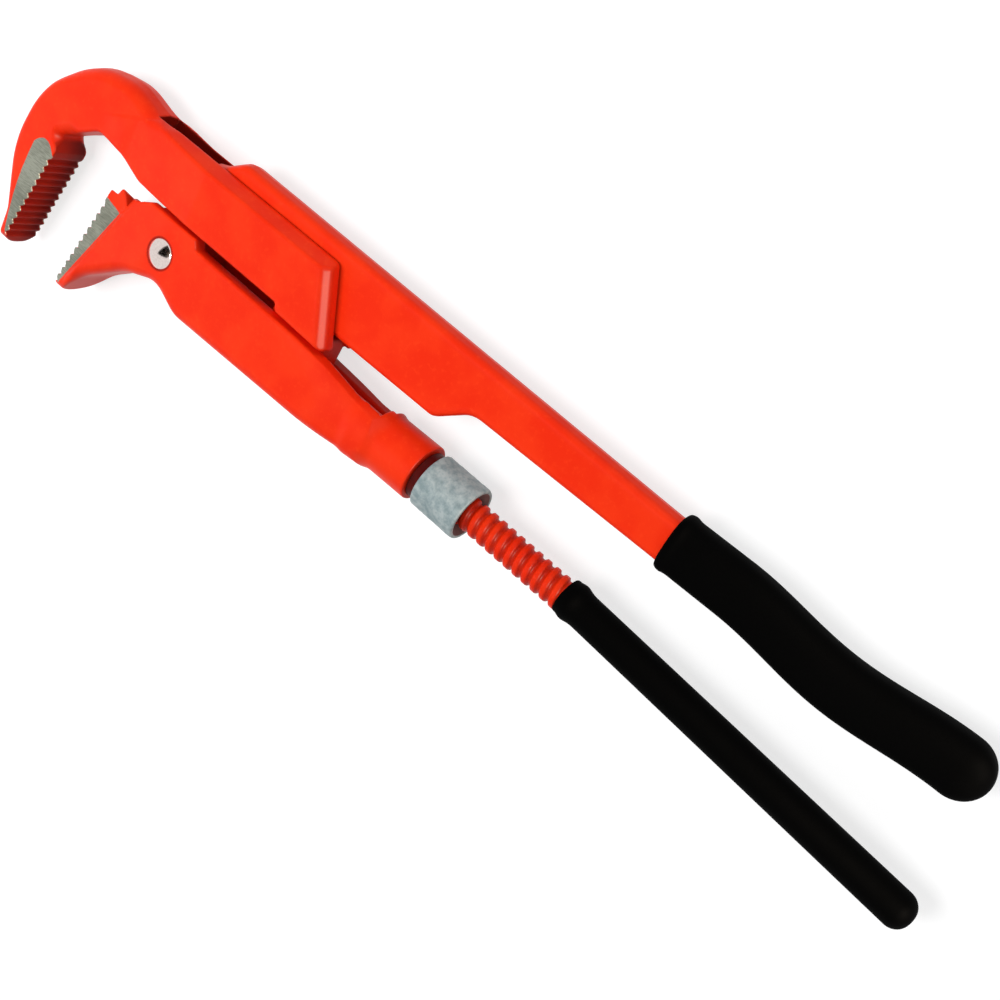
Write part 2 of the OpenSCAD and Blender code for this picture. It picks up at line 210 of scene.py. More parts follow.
def tooth_faces(x, y, row, side):
    """Field of a row of saw teeth along the line row; side is 1 where they point to its right."""
    length = math.dist(*row)
    along, away = from_line(x, y, *row)
    step = length / TOOTH_COUNT
    share = np.mod(along / step, 1.0)
    groove = TOOTH_DEPTH * np.minimum(share / 0.28, np.clip((0.94 - share) / 0.66, 0, 1))
    groove = np.where((along > 0) & (along < length), groove, 0)
    # past the root of the row the jaw is free to bulge out
    free = 2.0 * np.maximum(0, along - length - 0.3)
    return (side * away + groove) * 0.8 - free


HOOK_RIM, WEB_RIM, SLEEVE_RIM = rounded(HOOK), rounded(WEB), rounded(SLEEVE)
CHANNEL_RIM, FAR_RIM, BAR_RIM = rounded(CHANNEL), rounded(FAR_WALL), rounded(BAR)
BEHIND_RIM = rounded(BEHIND)


def hook_field(x, y, z):
    """Hook jaw, box shank and web, square to the rod."""
    h = z - MID
    a = np.abs(h)
    rim = rim_distance(x, y, HOOK_RIM)
    # the jaw's faces rise to the box pads, with a forging line across the neck
    along, away = from_line(x, y, (-48.0, 31.6), (-26.0, 42.2))
    crease = 0.6 * ease(away / 1.3) * ease((along + 4) / 10) * ease((12 - x) / 30)
    ramp = 4.0 * np.clip((x + 34.5) / 40, 0, 1)
    half = np.minimum(JAW_HALF + ramp + crease, BOX_HALF)
    # how round each edge is: most on the outer bend and at the mouth's root, least at the
    # slanted end and beside the teeth
    hump = ease((y - 24) / 8) * ease((-22 - x) / 12)
    _, slant = from_line(x, y, (64.4, 42.3), (77.2, 15.4))
    end = ease(1 - (slant - 1.5) / 4)
    outer = ease((np.hypot(x + 47, y - 5) - 27) / 6) * ease((-18 - x) / 12)
    r = 1.3 + 2.5 * outer + 0.6 * hump
    r = r + (1.0 - r) * end
    _, teeth = from_line(x, y, *HOOK_TEETH)
    r = r + (TOOTH_EDGE - r) * ease((4.5 - np.abs(teeth)) / 3) * ease((9 - y) / 3) * (x < -60)
    r = r + 3.2 * ease((9 - np.hypot(x + 67, y - 13)) / 5) * ease((y - 2) / 5)
    # a forging's draft makes the top of the hook lean back on both sides
    rim = rim + 0.16 * a * ease((y - 26) / 8) * ease((-16 - x) / 8)
    body = both(rim, (a - half) * 0.995, r)
    # a broad bevel along the slanted end
    body = both(body, (a - half + 2.8 - slant) * 0.7, 0.8)
    # sloping top edges beside the slot, the far one lower
    lift = 1.3 * np.maximum(0, -30 - x)
    drop = 1.5 * (h < 0) * ease((x + 34) / 26) + 0.45 * (a - SLOT_HALF) * ease((x + 36) / 16)
    top = (y - SHANK_TOP + drop - lift) * 0.91
    body = both(body, top, 0.9)
    # slot for the bar
    _, inward = from_line(x, y, *SLOT_END)
    slot = np.maximum(np.maximum(a - SLOT_HALF, -inward), -y)
    body = cut(body, slot, 0.5)
    # turned tip and the teeth
    below = np.minimum(y - HOOK_TIP_Y - HOOK_TIP_R, 0)
    tip = np.sqrt(below ** 2 + h ** 2) - HOOK_TIP_R
    body = both(body, np.where(x < -40, tip, DEEP), 0.8)
    body = both(body, np.where(x < -50, tooth_faces(x, y, HOOK_TEETH, 1), DEEP), 0.2)
    web = both(rim_distance(x, y, WEB_RIM), a - ROD_R, 1.0)
    return either(body, web, 1.0)


def jaw_field(x, y, z):
    """Lower jaw, sleeve and collar."""
    h = z - MID
    a = np.abs(h)
    rim = rim_distance(x, y, SLEEVE_RIM)
    _, away = from_line(x, y, *JAW_FACET)
    # the facet beside the ground strip climbs steeply, then the cheek crowns up to the pad
    climb = 3.4 * ease((-away + 0.4) / 4.6) + 0.6 * ease(-away / 22)
    half = np.minimum(JAW_HALF + climb, BOX_HALF)
    belly_y = np.interp(x, [-43.6, -32.5, -14.5, 1.0, 14.0], [-27, -15, -3, 0.5, -4])
    belly = ease((belly_y - y + 1) / 4)
    r = 1.1 + 3.2 * belly - 0.4 * ease((y - 8) / 4) * ease((16 - x) / 3)
    _, teeth = from_line(x, y, *JAW_TEETH)
    r = r + (TOOTH_EDGE - r) * ease((4.5 - np.abs(teeth)) / 3) * (x < -25)
    body = both(rim, (a - half) * 0.97, r)
    # square sleeve to round collar
    radius = np.sqrt(y * y + h * h)
    taper = CONE_R - (x - CONE_X0) * CONE_SLOPE - COLLAR_R
    shoulder = COLLAR_R + (taper + np.sqrt(taper * taper + 3.0)) / 2
    body = both(body, (radius - shoulder) * 0.95, 6.0)
    # turned tip and the teeth
    below = np.minimum(y - JAW_TIP_Y - JAW_TIP_R, 0)
    tip = np.sqrt(below ** 2 + h ** 2) - JAW_TIP_R - 0.5 * np.maximum(0, y + 27.7)
    body = both(body, np.where(x < -20, tip, DEEP), 0.8)
    body = both(body, np.where(x < -25, tooth_faces(x, y, JAW_TEETH, -1), DEEP), 0.2)
    # the heel falls away from its near edge towards the bench
    crown = np.interp(x, [-31.4, -30, -24, -15.8, -12], [12.4, 15.6, 15.3, 18.2, 20.1])
    heel = np.minimum((y - crown + 0.56 * (half - h)) * 0.87, y - 8.5) - 14 * ease((x + 17) / 6)
    body = both(body, heel, 0.4)
    collar = both(radius - COLLAR_R, np.abs(x - COLLAR_MID) - COLLAR_HALF, 0.6)
    body = either(body, collar, 5.0)
    # open channel, the lowered top behind the near cheek, the lower far wall, and the bore
    channel = np.maximum(rim_distance(x, y, CHANNEL_RIM), a - CHANNEL_HALF)
    body = cut(body, channel, 0.6)
    behind = np.maximum(rim_distance(x, y, BEHIND_RIM), h - BOX_HALF + CHEEK)
    body = cut(body, behind, 0.6)
    far_wall = np.maximum(rim_distance(x, y, FAR_RIM), h)
    body = cut(body, far_wall, 0.8)
    bore = np.maximum(radius - BORE_R, BORE_X0 - x)
    return cut(body, bore, 0.5)


def bar_field(x, y, z):
    """Web and bar of the long handle."""
    a = np.abs(z - MID)
    rim = rim_distance(x, y, BAR_RIM) + 0.2 * a * ease((y - 34) / 5)
    return both(rim, a - PLATE_HALF, 2.0)


# ---------------------------------------------------------------- meshes


def skin(field, lo, hi, cell):
    """Vertices and quads of the surface where the field is zero, drawn on a grid and settled on it."""
    lo = np.array(lo, float)
    count = np.ceil((np.array(hi) - lo) / cell).astype(int) + 1
    x, y, z = (lo[i] + cell * np.arange(count[i]) for i in range(3))
    values = field(x[:, None, None], y[None, :, None], z[None, None, :])
    values = np.broadcast_to(values, tuple(count)).astype(np.float32)
    inside = values < 0
    ones = sum(
        inside[i:count[0] - 1 + i, j:count[1] - 1 + j, k:count[2] - 1 + k].astype(np.int8)
        for i in (0, 1) for j in (0, 1) for k in (0, 1)
    )
    active = (ones > 0) & (ones < 8)
    cells = np.argwhere(active)
    number = np.full(active.shape, -1, np.int64)
    number[active] = np.arange(len(cells))
    total, hits = np.zeros((len(cells), 3)), np.zeros(len(cells))
    for axis in range(3):
        others = [k for k in range(3) if k != axis]
        for i in (0, 1):
            for j in (0, 1):
                start = np.zeros(3, int)
                start[others[0]], start[others[1]] = i, j
                end = start.copy()
                end[axis] = 1
                a = values[tuple((cells + start).T)]
                b = values[tuple((cells + end).T)]
                hit = (a < 0) != (b < 0)
                t = np.where(hit, a / np.where(a == b, 1, a - b), 0)
                total += np.where(hit[:, None], start + (end - start) * t[:, None], 0)
                hits += hit
    points = lo + cell * (cells + total / hits[:, None])
    quads = []
    for axis in range(3):
        u, v = (axis + 1) % 3, (axis + 2) % 3
        low, high = [slice(1, -1)] * 3, [slice(1, -1)] * 3
        low[axis], high[axis] = slice(0, -1), slice(1, None)
        a, b = inside[tuple(low)], inside[tuple(high)]
        g = np.argwhere(a != b)
        first = a[tuple(g.T)]
        g = g + 1
        g[:, axis] -= 1
        du, dv = np.eye(3, dtype=int)[u], np.eye(3, dtype=int)[v]
        quad = np.stack([number[tuple(c.T)] for c in (g, g - du, g - du - dv, g - dv)], axis=1)
        quads.append(np.where(first[:, None], quad, quad[:, ::-1]))
    quads = np.concatenate(quads)
    # walk each vertex along the field's slope, three steps towards the surface
    e = 0.03
    for _ in range(3):
        px, py, pz = points.T
        f = field(px, py, pz)
        slope = np.stack([
            field(px + e, py, pz) - field(px - e, py, pz),
            field(px, py + e, pz) - field(px, py - e, pz),
            field(px, py, pz + e) - field(px, py, pz - e),
        ], axis=1) / (2 * e)
        step = slope * (f / np.maximum((slope ** 2).sum(axis=1), 0.2))[:, None]
        size = np.linalg.norm(step, axis=1)
        points = points - step * np.minimum(1, 0.4 * cell / np.maximum(size, 1e-9))[:, None]
    return points, quads


def rocked(points):
    """Points drawn square to the rod, turned with the hook leg to its rest angle."""
    c, s = math.cos(ROCK), math.sin(ROCK)
    x, y = points[:, 0] - PIVOT_X, points[:, 1]
    return np.stack([PIVOT_X + c * x - s * y, s * x + c * y, points[:, 2]], axis=1)


def on_rod(points, x0=0.0):
    """Points with their axis on +Z, laid along the rod from x0."""
    return np.stack([x0 + points[:, 2], points[:, 1], MID - points[:, 0]], axis=1)


def piece(name, points, faces, material, body, nodes, marks=None):
    """A finished piece: a smooth mesh in metres that rides on its body and stands for its CAD nodes."""
    mesh = bpy.data.meshes.new(name)
    mesh.from_pydata((np.asarray(points) * MM).tolist(), [], [list(map(int, f)) for f in faces])
    mesh.polygons.foreach_set("use_smooth", [True] * len(mesh.polygons))
    for key, values in (marks or {}).items():
        mark = mesh.attributes.new(key, "FLOAT", "POINT")
        mark.data.foreach_set("value", np.asarray(values, np.float32))
    mesh.materials.append(material)
    mesh.update()
    made = bpy.data.objects.new(name, mesh)
    bpy.context.scene.collection.objects.link(made)
    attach(made, body)
    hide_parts(*nodes)
    return made


def loft(rings, cap_start=True, cap_end=True):
    """Vertices and faces through closed rings of equal length; a cap is a fan to the ring's middle."""
    n = len(rings[0])
    points = [p for ring in rings for p in ring]
    faces = []
    for i in range(len(rings) - 1):
        for j in range(n):
            k = (j + 1) % n
            faces.append((i * n + j, i * n + k, (i + 1) * n + k, (i + 1) * n + j))
    for wanted, start, flip in ((cap_start, 0, True), (cap_end, (len(rings) - 1) * n, False)):
        if wanted:
            middle = np.mean(points[start:start + n], axis=0)
            points.append(middle)
            for j in range(n):
                k = (j + 1) % n
                fan = (start + j, start + k, len(points) - 1)
                faces.append(fan[::-1] if flip else fan)
    return np.array(points), faces


def turned(profile, around=96, closed=False):
    """Rings of a turned shape about +Z, from a profile of (radius, z)."""
    angles = np.arange(around) * 2 * math.pi / around
    rings = [[(r * math.cos(t), r * math.sin(t), z) for t in angles] for r, z in profile]
    if closed:
        points, faces = loft(rings + [rings[0]], False, False)
        last = len(profile) * around
        faces = [tuple(v - last if v >= last else v for v in f) for f in faces]
        return points[:last], faces
    return loft(rings)


# ---------------------------------------------------------------- materials


def linear(code):
    """An sRGB hex colour as linear RGBA."""
    parts = [int(code[i:i + 2], 16) / 255 for i in (1, 3, 5)]
    return [c / 12.92 if c <= 0.04045 else ((c + 0.055) / 1.055) ** 2.4 for c in parts] + [1.0]


def add(tree, kind, inputs=(), **settings):
    """Adds a node with its settings, and links or sets its inputs."""
    made = tree.nodes.new(kind)
    for key, value in settings.items():
        setattr(made, key, value)
    for key, value in dict(inputs).items():
        if isinstance(value, bpy.types.NodeSocket):
            tree.links.new(value, made.inputs[key])
        else:
            made.inputs[key].default_value = value
    return made


def blank(name):
    """A new material, its tree emptied, and its pattern coordinates in metres."""
    material = bpy.data.materials.new(name)
    material.use_nodes = True
    tree = material.node_tree
    tree.nodes.clear()
    return material, tree, add(tree, "ShaderNodeTexCoord").outputs["Object"]


def per_mm(size):
    """Texture scale whose features are about size mm wide, on coordinates in metres."""
    return 1000.0 / size


def close(tree, inputs):
    """The surface shader and the output."""
    shader = add(tree, "ShaderNodeBsdfPrincipled", inputs)
    add(tree, "ShaderNodeOutputMaterial", {"Surface": shader.outputs[0]})


def mix_colour(tree, share, a, b):
    """Colour a where share is 0 and b where it is 1."""
    made = add(tree, "ShaderNodeMix", data_type="RGBA")
    tree.links.new(share, made.inputs["Factor"])
    colours = [s for s in made.inputs if s.type == "RGBA"]
    for socket, value in zip(colours, (a, b)):
        if isinstance(value, bpy.types.NodeSocket):
            tree.links.new(value, socket)
        else:
            socket.default_value = linear(value)
    return [s for s in made.outputs if s.type == "RGBA"][0]


PAINT, PAINT_DEEP, PAINT_WARM = "#F3330D", "#EE2A08", "#FA441A"
# painted shade: the dark red that the paint and the nut are drawn in, in slots, grooves, bores and round
# the rivet
SHADE_RED = "#5A0200"
GROUND, GROUND_DARK = "#A3A699", "#7B7E72"


def enamel(name, ground=False):
    """Stoved enamel on a forging: half matt, with orange peel and slow waves of tone.

    With ground, the paint stops where the attribute paint_edge passes 0 and shows steel with fine
    grinding lines. Where the shade attribute rises, the paint is drawn a darker red, as painted shade.
    """
    material, tree, at = blank(name)
    slow = add(tree, "ShaderNodeTexNoise", {"Vector": at, "Scale": per_mm(14), "Detail": 3.0})
    fine = add(tree, "ShaderNodeTexNoise", {"Vector": at, "Scale": per_mm(1.6), "Detail": 2.0})
    tone = add(tree, "ShaderNodeMapRange", {
        "Value": slow.outputs["Fac"], "From Min": 0.35, "From Max": 0.65},
        interpolation_type="SMOOTHSTEP")
    deep = mix_colour(tree, tone.outputs[0], PAINT_DEEP, PAINT)
    speck = add(tree, "ShaderNodeMapRange", {
        "Value": fine.outputs["Fac"], "From Min": 0.56, "From Max": 0.75, "To Max": 0.35})
    colour = mix_colour(tree, speck.outputs[0], deep, PAINT_WARM)
    rough = add(tree, "ShaderNodeMapRange", {
        "Value": fine.outputs["Fac"], "From Min": 0.3, "From Max": 0.7,
        "To Min": 0.36, "To Max": 0.44}).outputs[0]
    # painted shade: the paint darkens to a dark red as the shade attribute rises
    painted_shade = add(tree, "ShaderNodeAttribute", attribute_name="painted_shade")
    colour = mix_colour(tree, painted_shade.outputs["Fac"], colour, SHADE_RED)
    peel = add(tree, "ShaderNodeTexNoise", {"Vector": at, "Scale": per_mm(2.4), "Detail": 1.0})
    height = peel.outputs["Fac"]
    metal = 0.0
    if ground:
        edge = add(tree, "ShaderNodeAttribute", attribute_name="paint_edge")
        wander = add(tree, "ShaderNodeMath", {0: fine.outputs["Fac"], 1: 0.5}, operation="MULTIPLY_ADD")
        wander.inputs[2].default_value = -0.25
        moved = add(tree, "ShaderNodeMath", {0: edge.outputs["Fac"], 1: wander.outputs[0]}, operation="ADD")
        bare = add(tree, "ShaderNodeMapRange", {
            "Value": moved.outputs[0], "From Min": -0.12, "From Max": 0.12}).outputs[0]
        # grinding lines about half a millimetre apart, drawn out along X and Z
        turned_at = add(tree, "ShaderNodeMapping", {
            "Vector": at, "Rotation": (0, 0, math.radians(12)), "Scale": (0.15, 1.0, 0.15)})
        lines = add(tree, "ShaderNodeTexNoise", {
            "Vector": turned_at.outputs[0], "Scale": per_mm(0.5), "Detail": 2.0})
        patch = add(tree, "ShaderNodeMath", {0: lines.outputs["Fac"], 1: slow.outputs["Fac"]},
                    operation="MULTIPLY")
        grey = add(tree, "ShaderNodeMapRange", {
            "Value": patch.outputs[0], "From Min": 0.12, "From Max": 0.36})
        steel = mix_colour(tree, grey.outputs[0], GROUND_DARK, GROUND)
        colour = mix_colour(tree, bare, colour, steel)
        metal = add(tree, "ShaderNodeMath", {0: bare, 1: 0.85}, operation="MULTIPLY").outputs[0]
        rough = add(tree, "ShaderNodeMapRange", {
            "Value": bare, "To Min": 0.4, "To Max": 0.5}).outputs[0]
        mixed = add(tree, "ShaderNodeMix", data_type="FLOAT")
        tree.links.new(bare, mixed.inputs[0])
        tree.links.new(height, mixed.inputs[2])
        tree.links.new(lines.outputs["Fac"], mixed.inputs[3])
        height = mixed.outputs[0]
    bump = add(tree, "ShaderNodeBump", {"Height": height, "Strength": 0.35, "Distance": 0.00006})
    close(tree, {"Base Color": colour, "Metallic": metal, "Roughness": rough,
                 "Normal": bump.outputs[0], "IOR": 1.5, "Specular IOR Level": 0.1})
    return material


def cast_nut_steel():
    """Zinc plated steel with a pitted skin: pale blue grey, matt and patchy, drawn dark red as painted
    shade where its shade attribute is 1.
    """
    material, tree, at = blank("zinc_plated_steel")
    patches = add(tree, "ShaderNodeTexNoise", {
        "Vector": at, "Scale": per_mm(3.2), "Detail": 5.0, "Roughness": 0.65})
    pits = add(tree, "ShaderNodeTexVoronoi", {"Vector": at, "Scale": per_mm(1.5)})
    tone = add(tree, "ShaderNodeMapRange", {
        "Value": patches.outputs["Fac"], "From Min": 0.36, "From Max": 0.62})
    colour = mix_colour(tree, tone.outputs[0], "#7C8E92", "#A5B1B3")
    pit = add(tree, "ShaderNodeMapRange", {
        "Value": pits.outputs["Distance"], "From Min": 0.0, "From Max": 0.35,
        "To Min": 0.5, "To Max": 0.0})
    colour = mix_colour(tree, pit.outputs[0], colour, "#728589")
    # painted shade: dark red where the shade attribute is set, in the nut's bore
    painted_shade = add(tree, "ShaderNodeAttribute", attribute_name="painted_shade")
    colour = mix_colour(tree, painted_shade.outputs["Fac"], colour, SHADE_RED)
    rough = add(tree, "ShaderNodeMapRange", {
        "Value": patches.outputs["Fac"], "From Min": 0.3, "From Max": 0.7, "To Min": 0.62, "To Max": 0.78})
    both_heights = add(tree, "ShaderNodeMath", {
        0: patches.outputs["Fac"], 1: pits.outputs["Distance"]}, operation="ADD")
    bump = add(tree, "ShaderNodeBump", {
        "Height": both_heights.outputs[0], "Strength": 0.5, "Distance": 0.00012})
    close(tree, {"Base Color": colour, "Metallic": 0.25, "Roughness": rough.outputs[0],
                 "Normal": bump.outputs[0]})
    return material


def dipped_vinyl():
    """Hot-dipped vinyl: near black and matt, with a fine leathery skin."""
    material, tree, at = blank("dipped_black_vinyl")
    grain = add(tree, "ShaderNodeTexNoise", {"Vector": at, "Scale": per_mm(0.9), "Detail": 3.0})
    flow = add(tree, "ShaderNodeTexNoise", {"Vector": at, "Scale": per_mm(9), "Detail": 2.0})
    colour = mix_colour(tree, grain.outputs["Fac"], "#010101", "#030303")
    rough = add(tree, "ShaderNodeMapRange", {
        "Value": flow.outputs["Fac"], "From Min": 0.3, "From Max": 0.7, "To Min": 0.6, "To Max": 0.72})
    bump = add(tree, "ShaderNodeBump", {
        "Height": grain.outputs["Fac"], "Strength": 0.3, "Distance": 0.00008})
    close(tree, {"Base Color": colour, "Roughness": rough.outputs[0], "Normal": bump.outputs[0],
                 "Specular IOR Level": 0.015})
    return material


def bright_chrome():
    """Plated rivet head: a mirror with faint polishing marks, its colour tinted pink as a painted
    reflection of the red paint round it.
    """
    material, tree, at = blank("bright_chrome_plate")
    marks = add(tree, "ShaderNodeTexNoise", {"Vector": at, "Scale": per_mm(0.7), "Detail": 2.0})
    # painted reflection: both colours are tinted pink for the red paint that the dome mirrors
    colour = mix_colour(tree, marks.outputs["Fac"], "#DCCBC4", "#F4E8E3")
    rough = add(tree, "ShaderNodeMapRange", {
        "Value": marks.outputs["Fac"], "To Min": 0.1, "To Max": 0.2})
    bump = add(tree, "ShaderNodeBump", {
        "Height": marks.outputs["Fac"], "Strength": 0.15, "Distance": 0.00002})
    close(tree, {"Base Color": colour, "Metallic": 1.0, "Roughness": rough.outputs[0],
                 "Normal": bump.outputs[0]})
    return material


def dark_steel(name, low, high, metal, gloss):
    """Dark half matt steel, whose tone wanders between two colours; metal and gloss set its shine."""
    material, tree, at = blank(name)
    scale = add(tree, "ShaderNodeTexNoise", {"Vector": at, "Scale": per_mm(1.8), "Detail": 4.0})
    colour = mix_colour(tree, scale.outputs["Fac"], low, high)
    rough = add(tree, "ShaderNodeMapRange", {
        "Value": scale.outputs["Fac"], "To Min": 0.35, "To Max": 0.6})
    bump = add(tree, "ShaderNodeBump", {
        "Height": scale.outputs["Fac"], "Strength": 0.3, "Distance": 0.00005})
    close(tree, {"Base Color": colour, "Metallic": metal, "Roughness": rough.outputs[0],
                 "Normal": bump.outputs[0], "Specular IOR Level": gloss})
    return material


paint = enamel("stoved_orange_enamel")
paint_and_steel = enamel("stoved_enamel_and_ground_steel", ground=True)
nut_finish = cast_nut_steel()
vinyl = dipped_vinyl()
chrome = bright_chrome()
# painted shade: the washer's red paint is drawn near black, as it lies in shade under the collar's rim
washer_finish = dark_steel("washer_red_in_painted_shade", "#330303", "#5A0A07", 0.0, 0.1)
spring_finish = dark_steel("blued_spring_steel", "#3B3C40", "#6C6D70", 1.0, 0.5)


# ---------------------------------------------------------------- hook leg

COARSE = 1
# keeps each forging under 200,000 triangles
FORGING_CELL = 0.51 * COARSE               # grid cell of the forgings in mm, which sets how many triangles each has
BAR_CELL = 0.65 * COARSE


def strip_edge(x, y, z, row, far_side, ends, face):
    """Distance inside the ground strip beside a tooth row, in mm, negative on the paint."""
    along, away = from_line(x, y, *row)
    depth = np.minimum(far_side(x, y), np.minimum(along - ends[0], ends[1] - along))
    return np.minimum(depth, np.abs(z - MID) - face)


hook_points, hook_quads = skin(hook_field, (-92, -44, -1), (79, 48, 24.6), FORGING_CELL)
hx, hy, hz = hook_points.T
hook_strip = strip_edge(
    hx, hy, hz, HOOK_TEETH,
    lambda x, y: np.minimum(x + 79.6 - 0.0045 * (y + 14) ** 2, 5.8 - 0.12 * (x + 73) ** 2 - y),
    (-3.0, 50.0), JAW_HALF - 0.5)
# painted shade inside the slot, on the cheeks' inner faces beside the bar
_, past_end = from_line(hx, hy, *SLOT_END)
in_slot = ease((SLOT_HALF + 0.45 - np.abs(hz - MID)) / 0.5) * ease((past_end + 0.4) / 0.6)
in_slot = in_slot * ease((hy - 15) / 4)
# painted shade on the jaw's face beside the teeth, darker towards the bench
_, off_teeth = from_line(hx, hy, *HOOK_TEETH)
in_mouth = ease((3.4 - np.abs(off_teeth)) / 1.2) * (hx < -60) * ease((14 - hy) / 6)
in_mouth = in_mouth * ease((JAW_HALF - 0.2 - np.abs(hz - MID)) / 0.6)
in_mouth = in_mouth * (0.45 + 0.45 * ease((MID + 4 - hz) / 11))
piece("hook_forging", rocked(hook_points), hook_quads, paint_and_steel, "upper_leg",
      ["hook_leg"], {"paint_edge": hook_strip, "painted_shade": np.maximum(0.9 * in_slot, in_mouth)})


def thread_tree(material):
    """Geometry nodes that turn a rod along +Z with a helical ridge, faded out at both ends."""
    tree = bpy.data.node_groups.new("threaded_rod", "GeometryNodeTree")
    tree.interface.new_socket("Geometry", in_out="OUTPUT", socket_type="NodeSocketGeometry")
    for label, value in (("Length", 89.0), ("Plain", 30.0), ("Pitch", PITCH),
                         ("Crest Radius", ROD_R), ("Depth", THREAD_DEPTH)):
        made = tree.interface.new_socket(label, in_out="INPUT", socket_type="NodeSocketFloat")
        made.default_value = value
    given = add(tree, "NodeGroupInput").outputs

    def maths(kind, *values):
        return add(tree, "ShaderNodeMath", dict(enumerate(values)), operation=kind).outputs[0]

    whole = maths("ADD", given["Length"], given["Plain"])
    rod = add(tree, "GeometryNodeMeshCylinder", {
        "Vertices": 48, "Side Segments": 432, "Radius": 1.0, "Depth": whole})
    place = add(tree, "ShaderNodeSeparateXYZ", {0: add(tree, "GeometryNodeInputPosition").outputs[0]})
    x, y, z = place.outputs
    from_start = maths("ADD", z, maths("MULTIPLY", whole, 0.5))
    threaded = maths("SUBTRACT", from_start, given["Plain"])
    turns = maths("SUBTRACT", maths("DIVIDE", threaded, given["Pitch"]),
                  maths("DIVIDE", maths("ARCTAN2", y, x), 2 * math.pi))
    from_crest = maths("ABSOLUTE", maths("SUBTRACT", maths("FRACT", turns), 0.5))
    groove = add(tree, "ShaderNodeMapRange", {
        "Value": from_crest, "From Min": 0.17, "From Max": 0.42}, interpolation_type="SMOOTHSTEP")
    fade_in = maths("DIVIDE", threaded, given["Pitch"])
    fade_out = maths("DIVIDE", maths("SUBTRACT", given["Length"], threaded), given["Pitch"])
    fade = add(tree, "ShaderNodeClamp", {"Value": maths("MINIMUM", fade_in, fade_out)}).outputs[0]
    cut_depth = maths("MULTIPLY", maths("MULTIPLY", groove.outputs[0], fade), given["Depth"])
    radius = maths("SUBTRACT", given["Crest Radius"], cut_depth)
    moved = add(tree, "ShaderNodeCombineXYZ", {
        0: maths("MULTIPLY", x, radius), 1: maths("MULTIPLY", y, radius), 2: from_start})
    shaped = add(tree, "GeometryNodeSetPosition", {
        "Geometry": rod.outputs["Mesh"], "Position": moved.outputs[0]})
    real = add(tree, "GeometryNodeRealizeInstances", {0: shaped.outputs[0]})
    painted = add(tree, "GeometryNodeSetMaterial", {"Geometry": real.outputs[0]})
    painted.inputs["Material"].default_value = material
    add(tree, "NodeGroupOutput", {0: painted.outputs[0]})
    return tree


def grown(tree, values):
    """Points and faces that a geometry node tree makes with these input values."""
    holder = bpy.data.objects.new("holder", bpy.data.meshes.new("holder"))
    bpy.context.scene.collection.objects.link(holder)
    live = holder.modifiers.new("made", "NODES")
    live.node_group = tree
    for item in tree.interface.items_tree:
        if item.in_out == "INPUT" and item.name in values:
            live[item.identifier] = values[item.name]
    bpy.context.view_layer.update()
    seen = holder.evaluated_get(bpy.context.evaluated_depsgraph_get())
    mesh = bpy.data.meshes.new_from_object(seen)
    points = np.array([v.co for v in mesh.vertices])
    faces = [tuple(p.vertices) for p in mesh.polygons]
    bpy.data.objects.remove(holder)
    bpy.data.meshes.remove(mesh)
    return points, faces


ROD_X0 = 72.0
rod_points, rod_faces = grown(thread_tree(paint), {
    "Length": THREAD_X1 + 3 - THREAD_X0, "Plain": THREAD_X0 - ROD_X0})
rod_valleys = (ROD_R - np.hypot(rod_points[:, 0], rod_points[:, 1])) / THREAD_DEPTH
# a slightly deeper red over the whole rod as its tone, and painted shade down in the thread's grooves
piece("threaded_rod", rocked(on_rod(rod_points, ROD_X0)), rod_faces, paint, "upper_leg",
      ["hook_leg"], {"painted_shade": 0.1 + 0.4 * np.clip(rod_valleys, 0, 1)})

# ---------------------------------------------------------------- jaw leg

jaw_points, jaw_quads = skin(jaw_field, (-49, -39, -1), (129, 20.5, 24.6), FORGING_CELL)
jx, jy, jz = jaw_points.T
jaw_strip = strip_edge(
    jx, jy, jz, JAW_TEETH,
    lambda x, y: from_line(x, y, *JAW_FACET)[1],
    (-2.5, 44.0), JAW_HALF - 0.5)
rivet_y = (rivet_lo[1] + rivet_hi[1]) / 2
# painted shadow: a dark ring on the near face round the rivet's head
rivet_ring = 0.75 * ease((6.6 - np.hypot(jx, jy - rivet_y)) / 0.7) * (jz > MID)
piece("jaw_and_sleeve_forging", jaw_points, jaw_quads, paint_and_steel, "lower_leg",
      ["jaw_leg"], {"paint_edge": jaw_strip, "painted_shade": rivet_ring})

bar_points, bar_quads = skin(bar_field, (-6, 16, MID - 5.5), (215, 53, MID + 5.5), BAR_CELL)
piece("long_handle_bar", bar_points, bar_quads, paint, "lower_leg", ["jaw_leg"])

# ---------------------------------------------------------------- nut and rivet

NUT_R, NUT_LEN, NUT_CHAMFER = 10.3, 19.0, 0.5
NUT_X0 = PIVOT_X + 3.1
outer = [(NUT_R - 0.6, 0), (NUT_R - 0.15, 0.2), (NUT_R, 0.6)]
outer += [(NUT_R, z) for z in np.linspace(1.2, NUT_LEN - NUT_CHAMFER - 0.4, 34)]
outer += [(NUT_R - 0.15, NUT_LEN - 0.3), (NUT_R - NUT_CHAMFER, NUT_LEN)]
inner = [(NUT_R - 1.3, NUT_LEN), (NUT_R - 1.5, NUT_LEN - 0.2), (ROD_R + 0.5, NUT_LEN - 3.2),
         (ROD_R + 0.1, NUT_LEN - 4.0), (ROD_R + 0.1, 0.8), (ROD_R + 0.9, 0)]
nut_points, nut_faces = turned(outer + inner, around=128, closed=True)


